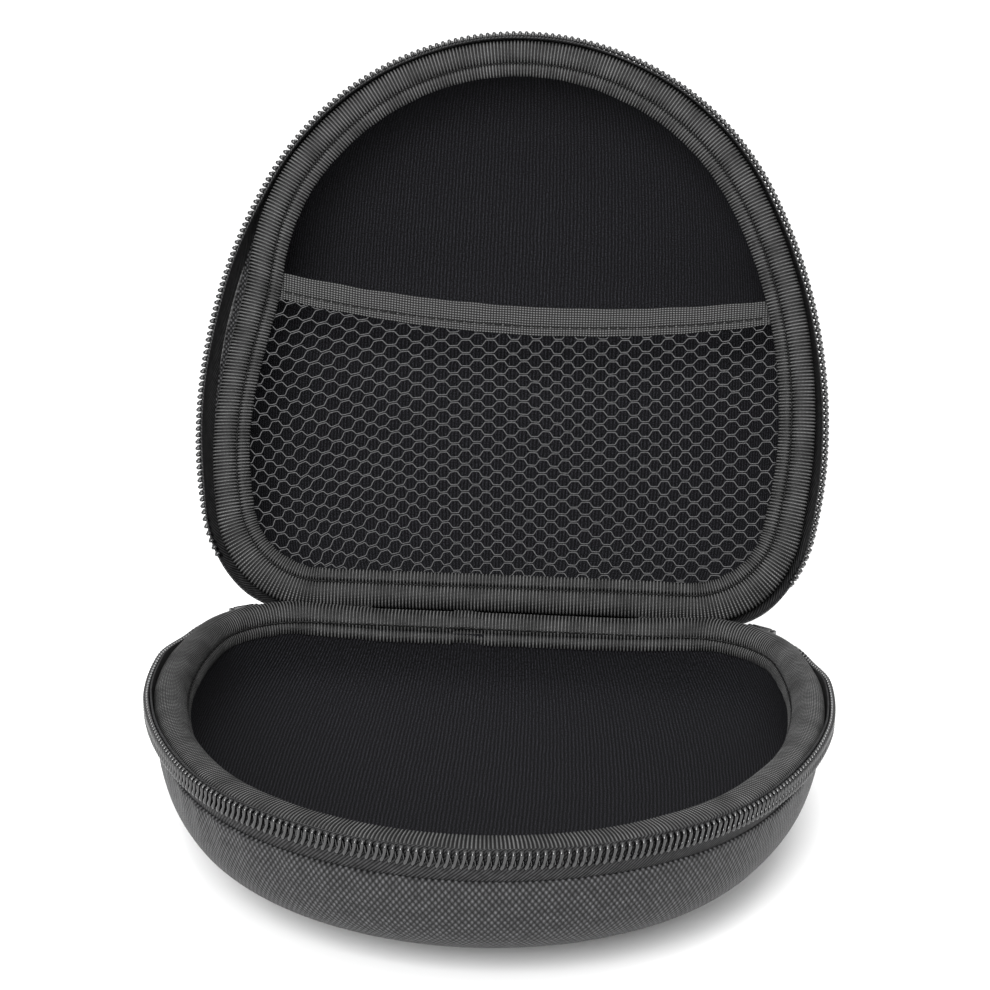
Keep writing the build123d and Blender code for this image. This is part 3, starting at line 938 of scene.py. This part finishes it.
def rim_slack(name, seed):
    """How the strip wavers: hem puckers at the back corners, slow waves elsewhere."""
    section = SECTIONS[name]

    def slack(s, k):
        out, depth = section[k]
        from_back = min(s, PERIMETER - s)
        near_corner = exp(-((from_back - 81.0) / 26.0) ** 2)
        hem = rising(-out, 5.7, 1.2) if name == "base" else max(0.0, (-5.6 - out) / 3.7)
        slow = noise.noise(Vector((s / 38.0, 3.1 * seed, out / 30.0)))
        quick = noise.noise(Vector((s / 4.2, 7.7 * seed, out / 9.0)))
        dip = noise.noise(Vector((s / 5.0 + 40, seed, out / 7.0)))
        shift_out = 0.30 * slow + hem * quick * (0.18 + 0.45 * near_corner)
        shift_down = 0.12 * slow + hem * (0.22 + 0.3 * near_corner) * dip
        outer = rising(out, -0.5, 1.5)
        if name == "lid":
            shift_out += outer * corner_swell(s)
        else:
            shift_out += 0.8 * outer * chain_shift(s, name)[0]
            shift_down += SAG * rising(-from_back, -SAG_END, SAG_FADE)
            inner_nose = rising(from_back, NOSE_START, NOSE_FADE) * rising(-out, 1.0, 2.0)
            shift_out -= NOSE_IN * inner_nose
            shift_down -= NOSE_RISE * inner_nose
            past_join = s - JOIN_AT
            if abs(past_join) < JOIN_HALF and out < 1.5:
                shift_down -= JOIN_RISE * (1 - max(0.0, past_join) / JOIN_HALF)
                shift_out += JOIN_OUT if out < -4.0 else 0.0
        return shift_out, max(shift_down, 0.1 - depth)
    return slack


for number, (side, rim) in enumerate(RIMS.items()):
    strip = carried(f"{side}_grosgrain_binding", rim, SECTIONS[side], RIB_STEP,
                    slack=rim_slack(side, 1 - 2 * number), drawn=side == "lid")
    ribbed(strip, WHOLE_PITCH, RIB_HEIGHT)
    dress(strip, GROSGRAIN, side, "grosgrain_binding", f"{side}_edge_binding")
    print(strip.name, len(strip.data.polygons), "faces, rib pitch", round(WHOLE_PITCH, 3))

# %% [markdown]
# ### Seam
# One row of thick thread holds the binding. Each stitch dives into the fold at both ends,
# so only its middle lies on top.

# %% Stitches in the rim's groove
rim_stitch = wire("rim_stitch", [(-1.45, 0, -0.55), (-1.1, 0, -0.05), (-0.5, 0, 0.18),
                                 (0.5, 0, 0.18), (1.1, 0, -0.05), (1.45, 0, -0.55)], 0.3, 6)
for side, rim in RIMS.items():
    spots, tangents, outs = spots_along(rim, 3.0, *GROOVE[side], drawn=side == "lid")
    if side == "base":
        outs = np.array([(o * 0.35 + np.array((0, 0, 1)) * 0.94) for o in outs])
    seam = repeated(f"{side}_rim_stitches", rim_stitch, THREAD, spots, tangents,
                    outs, 0.04, 3)
    dress(seam, THREAD, side, "sewing_thread", f"{side}_seam_thread")

# %% [markdown]
# ## The zip
# A twill tape stands along the wall, sewn down at its foot under the cover's fold. The
# coil lies along its free edge: one nylon wire wound flat, with a head on each turn that
# locks with the other side. Seen from outside there are two rows, the heads above and
# the slanting legs below.

# %% Tapes
TAPE_SECTION = smooth_line([(2.85, 3.1), (2.85, 6.0), (2.8, 8.6), (2.45, 10.6), (1.95, 12.2),
                            (1.65, 13.2)], 2)
TAPE_SECTION = TAPE_SECTION + [p + Vector((0.5, 0.12)) for p in reversed(TAPE_SECTION)]


def tape_slack(name, seed):
    """The free edge wavers and goes with the chain, while the foot is held."""
    def slack(s, k):
        _, depth = TAPE_SECTION[k]
        free = rising(-depth, -12.4, 6.0)
        out_more, up = chain_shift(s, name)
        if name == "lid":
            out_more += corner_swell(s)
        waver_out = 0.22 * noise.noise(Vector((s / 22.0, seed, 0.0)))
        waver_down = 0.15 * noise.noise(Vector((s / 30.0, seed + 9.0, 0.0)))
        return free * (waver_out + out_more), free * waver_down + up
    return slack


for number, (side, rim) in enumerate(RIMS.items()):
    tape = carried(f"{side}_twill_tape", rim, [tuple(p) for p in TAPE_SECTION], 1.6,
                   gap=CHAIN_END, slack=tape_slack(side, 2.0 + 5 * number))
    dress(tape, TAPE, side, "zip_tape", f"{side}_zipper_tape")

# %% [markdown]
# ### Coil
# One turn of the wire is drawn: a thick head that would lock with the other side,
# and two thin legs that go back over the tape. The lid's row is drawn from its slider on,
# since behind it the closed chain is one line and the base's row shows it.

# %% Coils
COIL_PITCH = 2.0
TURN = [(1.0, -0.5, -1.7, 0.42), (0.95, 0.0, -2.15, 0.5), (0.8, 0.45, -2.0, 0.58),
        (0.62, 0.6, -1.4, 0.6), (0.36, 0.5, -0.8, 0.58), (0.1, 0.42, -0.1, 0.58),
        (-0.04, 0.5, 0.6, 0.6), (-0.1, 0.6, 1.3, 0.64), (-0.12, 0.5, 1.9, 0.66),
        (-0.12, 0.05, 2.25, 0.68), (-0.14, -0.4, 1.9, 0.6), (-0.25, -0.5, 1.0, 0.46),
        (-0.6, -0.5, -0.3, 0.42), (-0.86, -0.5, -1.2, 0.42), (-1.0, -0.5, -1.7, 0.42)]
coil_loop = wire("coil_loop", [p[:3] for p in TURN], [p[3] for p in TURN], 8,
                 closed_ends=False)
for side, rim in RIMS.items():
    spots, tangents, outs = spots_along(rim, COIL_PITCH, 4.1, 5.85,
                                        gap=CHAIN_END if side == "base" else LID_COIL_END,
                                        chain=side)
    coil = repeated(f"{side}_nylon_coil", coil_loop, NYLON, spots, tangents, outs, 0.0, 5)
    dress(coil, NYLON, side, "nylon_coil", f"{side}_zipper_coil")

# %% [markdown]
# ## Net pocket
# The lid's pocket is a warp-knit net with a knitted elastic along its upper edge. The
# elastic holds the edge tight, so it hangs in a shallow curve. Both of its edges are
# parabolas, from wall to wall.


# %% Elastic band
def band_edges(x):
    """(upper, lower) edge of the band, in mm from the hinge line, at `x` across."""
    world = -x
    return (96.4 - 0.0268 * world + 0.001035 * world ** 2,
            87.0 - 0.0234 * world + 0.001196 * world ** 2)


def mouth(v, inset):
    """(lowest, highest) x of the lid's outline at `v` from the hinge line."""
    marks, _ = stations(1.0)
    points, normals = ring(marks)
    pull = np.array([pulled_in(m[2], 3.5) for m in marks])
    inner = points - normals * (inset + pull)[:, None]
    low, high = inner[inner[:, 0] < 0], inner[inner[:, 0] > 0]
    low, high = low[np.argsort(low[:, 1])], high[np.argsort(high[:, 1])]
    return np.interp(v, low[:, 1], low[:, 0]), np.interp(v, high[:, 1], high[:, 0])


def elastic_band():
    """The band from wall to wall, and where it starts and ends across the lid."""
    left, right = mouth(97.0, 8.3)
    xs = np.linspace(left, right, 230)
    face = [(0.0, 0.55), (0.02, 0.2), (0.07, 0.02), (0.16, 0.0), (0.3, 0.03), (0.45, 0.03),
            (0.58, 0.06), (0.63, 0.26), (0.68, 0.3), (0.73, 0.26), (0.78, 0.05),
            (0.88, 0.0), (0.96, 0.06), (0.99, 0.3), (1.0, 0.55)]
    back = [(0.99, 0.9), (0.94, 1.08), (0.7, 1.12), (0.4, 1.12), (0.06, 1.08), (0.01, 0.9)]
    rows, cloth = [], []
    for t, deep in face + back:
        row = []
        for x in xs:
            top, low = band_edges(x)
            ends = max(0.0, 1 - min(x - left, right - x) / 5.0)
            waver = 0.25 * noise.noise(Vector((x / 9.0, t * 1.5, 4.0)))
            row.append((x, top + (low - top) * t + waver, 3.15 + deep + 0.6 * ends ** 2))
        rows.append(lid_rim.rows(np.array(row)))
        cloth.append(np.column_stack([xs, np.full(len(xs), t * 9.6)]))
    cloth.append(cloth[0])
    made = skin("pocket_elastic", rows, np.array(cloth), round_rim=False)
    return capped(made, 60), left, right


band, band_left, band_right = elastic_band()
dress(band, ELASTIC, "lid", "elastic", "pocket_elastic_band")
print("elastic is", round(band_right - band_left), "mm long")

# %% The band's row of stitches
BAND_STITCH_PITCH, BAND_SEAM_AT = 3.1, 0.68
band_stitch = wire("band_stitch", [(-1.2, 0, -0.4), (-0.95, 0, 0.0), (-0.4, 0, 0.12),
                                   (0.4, 0, 0.12), (0.95, 0, 0.0), (1.2, 0, -0.4)], 0.28, 6)


def band_seam(left, right):
    """One row of stitches in the band's groove, two thirds of the way down it."""
    xs = np.arange(left + 4.0, right - 3.0, BAND_STITCH_PITCH)
    edges = np.array([band_edges(x) for x in xs])
    v = edges[:, 0] + BAND_SEAM_AT * (edges[:, 1] - edges[:, 0])
    slope, ones, zeros = np.gradient(v, xs), np.ones(len(xs)), np.zeros(len(xs))
    axes = np.array([lid_rim.across, lid_rim.front, lid_rim.down])
    spots = lid_rim.rows(np.column_stack([xs, v, np.full(len(xs), 3.3)]))
    tangents = np.column_stack([ones, slope, zeros]) @ axes
    across = np.column_stack([-slope, ones, zeros]) @ axes
    return repeated("pocket_elastic_stitches", band_stitch, THREAD, spots, tangents,
                    -across, 0.05, 8)


dress(band_seam(band_left, band_right), THREAD, "lid", "sewing_thread", "pocket_elastic_thread")

# %% [markdown]
# ### Net
# The strands run from side to side in zigzags. Where two of them meet they run side by
# side for a stitch or two, and these joints leave a field of six-sided holes. They start
# as lines on an even grid. One smooth function then moves every point to where the pull
# of the elastic leaves it, most of all near the band's left end. What falls outside the
# pocket is dropped, and a small tree makes round tubes of the rest.

# %% Net strands
HOLE_ACROSS, HOLE_UP, JOINT_HALF, STRAND = 3.55, 2.25, 1.3, 0.16


def skewed(x, v):
    """Moves a spot of the even net to where the pulled net has it."""
    left = max(0.0, (x - 5.0) / 60.0)
    lean = -0.30 * (60.0 * left) * min(1.0, left)
    wave = 0.9 * noise.noise(Vector((x / 30.0, v / 24.0, 1.0)))
    sway = 1.3 * noise.noise(Vector((x / 24.0, v / 30.0, 6.0)))
    small = 0.2 * noise.noise(Vector((x / 3.1, v / 2.9, 12.0)))
    follow = 0.001 * x * x * (v / 90.0)
    return (x + sway + small + 0.22 * (v - 45.0) * min(1.0, left), v + lean + wave + small + follow)


def net_lines():
    """Zigzag strands clipped to the pocket, as lists of (x, v, depth)."""
    edge_v = np.linspace(6.0, 120.0, 150)
    bounds_at = [mouth(v, 8.2) for v in edge_v]
    lows, highs = [b[0] for b in bounds_at], [b[1] for b in bounds_at]
    kept = []
    for k in range(-2, 60):
        line = []
        for i in range(-28, 29):
            up = (i + k) % 2
            level = (k + up) * HOLE_UP + (-0.31 if up else 0.31)
            for dx, bow in ((-1.0, -0.16), (-0.8, 0.02), (0.0, 0.05), (0.8, 0.02), (1.0, -0.16)):
                apart = -bow if up else bow
                x, v = skewed(i * HOLE_ACROSS + dx * JOINT_HALF, level - apart)
                deep = 3.72 + (0.1 if up else -0.1) * (1 if dx == 0.0 else 0.4)
                line.append((x, v, deep, 1.1 if dx == 0.0 else 0.95))
            x, v = skewed((i + 0.5) * HOLE_ACROSS, (k + 0.5) * HOLE_UP)
            line.append((x, v, 3.72, 0.9))
        run = []
        for p in line:
            inside = (9.0 < p[1] < band_edges(p[0])[1] + 1.8
                      and np.interp(p[1], edge_v, lows) < p[0] < np.interp(p[1], edge_v, highs))
            if inside:
                run.append(p)
            elif len(run) > 2:
                kept.append(run)
                run = []
            else:
                run = []
        if len(run) > 2:
            kept.append(run)
    return kept


def strand_tree():
    """Turns edges into round tubes, each as thick as its points say."""
    tree, given, out = new_tree("strands", [("Radius", "NodeSocketFloat"),
                                            ("Sides", "NodeSocketInt"),
                                            ("Finish", "NodeSocketMaterial")])
    curve = node(tree, "GeometryNodeMeshToCurve", {"Mesh": given.outputs["Geometry"]})
    sized = node(tree, "GeometryNodeSetCurveRadius", {"Curve": curve,
                 "Radius": attribute(tree, "thickness", "FLOAT")})
    circle = node(tree, "GeometryNodeCurvePrimitiveCircle", {
        "Resolution": given.outputs["Sides"], "Radius": given.outputs["Radius"]})
    tube = node(tree, "GeometryNodeCurveToMesh", {"Curve": sized, "Profile Curve": circle,
                                                  "Fill Caps": True})
    real = node(tree, "GeometryNodeRealizeInstances", {"Geometry": tube})
    painted = node(tree, "GeometryNodeSetMaterial", {"Geometry": real,
                   "Material": given.outputs["Finish"]})
    tree.links.new(painted.outputs[0], out.inputs["Geometry"])
    return tree


def strands(name, lines, rim, radius, sides, material):
    """Round strands along lines of (across, front, depth, thickness)."""
    verts, edges, thick = [], [], []
    for line in lines:
        start = len(verts)
        verts += rim.rows(np.array([p[:3] for p in line])).tolist()
        thick += [p[3] for p in line]
        edges += [(start + i, start + i + 1) for i in range(len(line) - 1)]
    mesh = bpy.data.meshes.new(name)
    mesh.from_pydata(verts, edges, [])
    mesh.attributes.new("thickness", "FLOAT", "POINT").data.foreach_set(
        "value", np.array(thick, np.float32))
    made = grown(link(name, mesh), strand_tree(), {"Radius": radius * MM, "Sides": sides,
                                                   "Finish": material})
    if not made.data.uv_layers:
        made.data.uv_layers.new(name="cloth")
    tidy(made.data, 180)
    print(name, len(lines), "strands,", len(made.data.polygons), "faces")
    return made


net = strands("pocket_net", net_lines(), lid_rim, STRAND, 6, NET)
dress(net, NET, "lid", "net", "pocket_mesh")

# %% [markdown]
# ## Fabric hinge
# Where the chain stops at the back, a strip of tape joins the shells. It is sewn to both
# walls and bends where the lid turns.

# %% Hinge strip
HINGE_ON_BASE = ((0.75, 17.2), (0.9, 15.0), (1.7, 12.0), (2.9, 9.4), (3.6, 7.4))
HINGE_ON_LID = ((3.7, -5.2), (3.5, -1.0), (3.3, 4.0), (2.9, 8.6), (1.7, 12.0), (0.9, 15.0),
                (0.75, 17.2))
HINGE_THICK = 0.8


def hinge_strip():
    """The strip from wall to wall, and its length in metres."""
    path = [base_rim.at(0, -out, depth) for out, depth in HINGE_ON_BASE]
    path += [lid_rim.at(0, -out, depth) for out, depth in HINGE_ON_LID]
    line = smooth_line([p / MM for p in path], 5)
    xs = np.linspace(-HINGE_HALF, HINGE_HALF, 60)
    rows = []
    for face in (1, -1):
        for i in range(len(line))[::face]:
            ahead = line[min(i + 1, len(line) - 1)] - line[max(i - 1, 0)]
            out = Vector((0, ahead.z, -ahead.y)).normalized() * (HINGE_THICK / 2 * face)
            rows.append([(x, line[i].y + out.y, line[i].z + out.z) for x in xs])
    cloth = np.array([[(x, 1.0 * i) for x in xs] for i in range(len(rows) + 1)])
    made = capped(skin("hinge_tape", np.array(rows) * MM, cloth, round_rim=False), 60)
    made.data.materials.append(TAPE)
    return made, sum((b - a).length for a, b in zip(line, line[1:])) * MM


strip, run = hinge_strip()
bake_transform(strip)
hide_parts("hinge_strip")
print("hinge strip is", round(run / MM), "mm from seam to seam")

# %% [markdown]
# ## Sliders and pulls
# Two sliders are parked at the back corners. Each is a small zinc casting: two shield
# plates with the chain between them, a post that joins them above the tape, and two ears
# with a bar for the pull. The pull is a plain tongue that hangs by its eye. The shapes
# are drawn in the slider's own plane and get rounded edges before the enamel.

# %% Small castings
CORNER_AT, PARK_ANGLE = (59.07, 57.0), 56.0


def parked(side, out, along, depth):
    """World place of a point in the slider's plane: out from the wall, along it, down."""
    a = radians(PARK_ANGLE)
    away, run = Vector((side * cos(a), sin(a), 0)), Vector((-side * sin(a), cos(a), 0))
    wall = Vector((side * CORNER_AT[0], CORNER_AT[1], SHELL_DEPTH)) + away * CORNER_RADIUS
    return (wall + away * out + run * along - Vector((0, 0, depth))) * MM


def casting(name, side, prisms, soft):
    """Prisms (outline, low, high, plane) in the slider's plane, with rounded edges."""
    work = bmesh.new()
    for outline, low, high, plane in prisms:
        rings = []
        for level_at in (low, high):
            ring_verts = []
            for a, b in outline:
                place = (level_at, a, b) if plane == "face" else (a, level_at, b)
                ring_verts.append(work.verts.new(parked(side, *place)))
            rings.append(ring_verts)
        work.faces.new(rings[0])
        work.faces.new(list(reversed(rings[1])))
        for i in range(len(outline)):
            j = (i + 1) % len(outline)
            work.faces.new((rings[0][i], rings[1][i], rings[1][j], rings[0][j]))
    bmesh.ops.recalc_face_normals(work, faces=work.faces)
    mesh = bpy.data.meshes.new(name)
    work.to_mesh(mesh)
    work.free()
    mesh.uv_layers.new(name="cloth")
    made = link(name, mesh)
    bevel = made.modifiers.new("soft_edges", "BEVEL")
    bevel.width, bevel.segments, bevel.limit_method = soft * MM, 3, "ANGLE"
    bpy.context.view_layer.update()
    ready = made.evaluated_get(bpy.context.evaluated_depsgraph_get())
    made.data = bpy.data.meshes.new_from_object(ready)
    made.modifiers.clear()
    made.data.name = name
    made.data.shade_smooth()
    made.data.set_sharp_from_angle(angle=radians(35))
    return made


def arc(cx, cy, radius, a, b, count):
    """Points on an arc from angle a to b, in degrees."""
    return [(cx + radius * cos(radians(a + (b - a) * i / count)),
             cy + radius * sin(radians(a + (b - a) * i / count))) for i in range(count + 1)]


# %% Slider and pull on each side
SHIELD = (arc(3.6, 5.4, 1.9, -90, 0, 5) + arc(2.6, 8.0, 1.3, 20, 90, 4)
          + arc(-3.4, 7.7, 1.4, 90, 180, 4) + arc(-3.9, 4.9, 1.4, 180, 270, 4))
EAR = [(6.2, 3.5), (8.6, 3.4), (9.2, 3.8), (9.2, 4.7), (8.6, 5.1), (6.2, 7.2)]
POST = [(-1.3, 2.5), (1.3, 2.5), (1.3, 3.6), (-1.3, 3.6)]
BAR_OUT, BAR_DEPTH = 8.4, 4.2
TONGUE = ([(-2.2, 4.6), (2.2, 4.6), (2.3, 9.0), (3.55, 12.0)]
          + arc(0.0, 27.6, 3.55, 0, 180, 14) + [(-3.55, 12.0), (-2.3, 9.0)])
for side, sign in (("right", 1), ("left", -1)):
    body = [(SHIELD, 5.35, 6.5, "face"), (SHIELD, 1.3, 1.95, "face"),
            (POST, 1.4, 6.2, "face"),
            (arc(BAR_OUT, BAR_DEPTH, 0.75, 0, 330, 11), -3.95, 3.95, "side")]
    for end in (1, -1):
        body.append((EAR, end * 3.95, end * 4.95, "side"))
    metal = casting(f"{side}_zinc_slider", sign, body, 0.22)
    dress(metal, ENAMEL, f"{side}_slider", "slider_metal", f"{side}_slider_body")
    pull = casting(f"{side}_zinc_pull", sign, [
        (TONGUE, BAR_OUT - 0.6, BAR_OUT + 0.6, "face"),
        (arc(BAR_OUT, BAR_DEPTH, 1.0, 0, 330, 11), -3.4, 3.4, "side")], 0.3)
    dress(pull, ENAMEL, f"{side}_pull", "pull_metal", f"{side}_pull_tab")

# %% [markdown]
# ## Studio
# A pale floor and large soft lights keep a black object readable: it is the lights'
# reflections in ribs and thread that draw it, together with the highlights and shade
# painted into the fabrics' colours.

# %% Floor, light, camera
floor_mesh = bpy.data.meshes.new("studio_floor")
floor_mesh.from_pydata([(-6, -4, 0), (6, -4, 0), (6, 12, 0), (-6, 12, 0)], [], [(0, 1, 2, 3)])
floor = link("studio_floor", floor_mesh)
paper, _, paper_shader = start_material("white_paper", 0.9)
paper_shader.inputs["Base Color"].default_value = linear("#f4f4f4")
floor_mesh.materials.append(paper)

world = bpy.data.worlds.new("studio")
bpy.context.scene.world = world
world.use_nodes = True
world.node_tree.nodes["Background"].inputs["Color"].default_value = (1, 1, 1, 1)
world.node_tree.nodes["Background"].inputs["Strength"].default_value = 1.0


def softbox(name, at, aim, size, watts):
    """A square soft light at one place, aimed at another."""
    lamp = bpy.data.lights.new(name, "AREA")
    lamp.shape, lamp.size, lamp.energy = "SQUARE", size, watts
    made = bpy.data.objects.new(name, lamp)
    bpy.context.scene.collection.objects.link(made)
    made.location = at
    made.rotation_euler = (Vector(aim) - Vector(at)).to_track_quat("-Z", "Y").to_euler()
    return made


softbox("front_box", (-0.3, -1.7, 1.1), (0, 0.05, 0.08), 1.1, 62)
softbox("top_box", (0.1, -0.3, 1.8), (0, 0.0, 0.0), 1.3, 26)

CAMERA_AT, FOCAL = (0.0393, -0.8115, 0.3727), 110.36
turned, raised, rolled = radians(-2.69), radians(17.78), radians(1.42)
forward = Vector((sin(turned) * cos(raised), cos(turned) * cos(raised), -sin(raised)))
level = Vector((cos(turned), -sin(turned), 0))
upward = level.cross(forward)
right = level * cos(rolled) + upward * sin(rolled)
top = upward * cos(rolled) - level * sin(rolled)
lens = bpy.data.cameras.new("studio_camera")
lens.lens, lens.sensor_width = FOCAL, 36.0
lens.clip_start, lens.clip_end = 0.05, 50
camera = bpy.data.objects.new("studio_camera", lens)
bpy.context.scene.collection.objects.link(camera)
axes = Matrix((right, top, -forward)).transposed().to_4x4()
camera.matrix_world = Matrix.Translation(Vector(CAMERA_AT)) @ axes
bpy.context.scene.camera = camera
bpy.context.scene.view_settings.view_transform = "Standard"
